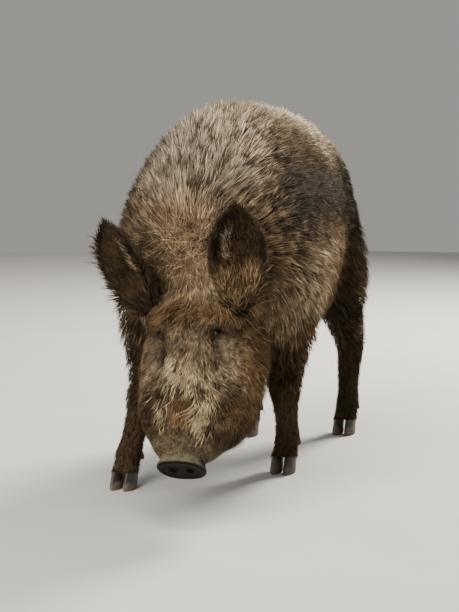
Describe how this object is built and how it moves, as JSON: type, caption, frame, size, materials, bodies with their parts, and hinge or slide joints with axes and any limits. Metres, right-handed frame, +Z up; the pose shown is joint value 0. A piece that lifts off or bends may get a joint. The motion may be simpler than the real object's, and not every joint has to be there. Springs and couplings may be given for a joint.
{
  "type": "wild boar, life-size still model",
  "caption": "Life-size still model of a wild boar standing with its head lowered to root at the ground, ears raised, in a shaggy winter coat.",
  "frame": {"origin": "middle of the bounding box, on the floor under the hooves", "axes": "+Z up, the boar faces -Y, +X is its left side"},
  "size_m": [0.4934, 1.3736, 0.8883],
  "materials": {
    "coat": "coarse bristly fur, dark at the root with grey-tan tips",
    "dark_coat": "short black-brown fur",
    "face_coat": "short tan-brown fur",
    "nose": "matte, dusty hide",
    "eye": "wet gloss",
    "hoof": "worn dark horn"
  },
  "bodies": {
    "root": {"ear_left": "dark_coat", "ear_right": "dark_coat", "eye_left": "eye", "eye_right": "eye", "foreleg_left_claw_inner": "hoof", "foreleg_left_claw_outer": "hoof", "foreleg_left_dewclaw_inner": "hoof", "foreleg_left_dewclaw_outer": "hoof", "foreleg_left_lower": "dark_coat", "foreleg_left_upper": "coat", "foreleg_right_claw_inner": "hoof", "foreleg_right_claw_outer": "hoof", "foreleg_right_dewclaw_inner": "hoof", "foreleg_right_dewclaw_outer": "hoof", "foreleg_right_lower": "dark_coat", "foreleg_right_upper": "coat", "head": "face_coat", "hindleg_left_claw_inner": "hoof", "hindleg_left_claw_outer": "hoof", "hindleg_left_dewclaw_inner": "hoof", "hindleg_left_dewclaw_outer": "hoof", "hindleg_left_lower": "dark_coat", "hindleg_left_upper": "coat", "hindleg_right_claw_inner": "hoof", "hindleg_right_claw_outer": "hoof", "hindleg_right_dewclaw_inner": "hoof", "hindleg_right_dewclaw_outer": "hoof", "hindleg_right_lower": "dark_coat", "hindleg_right_upper": "coat", "jaw": "face_coat", "neck": "coat", "nose": "nose", "tail": "coat", "tail_tassel": "dark_coat", "trunk": "coat"}
  },
  "joints": []
}
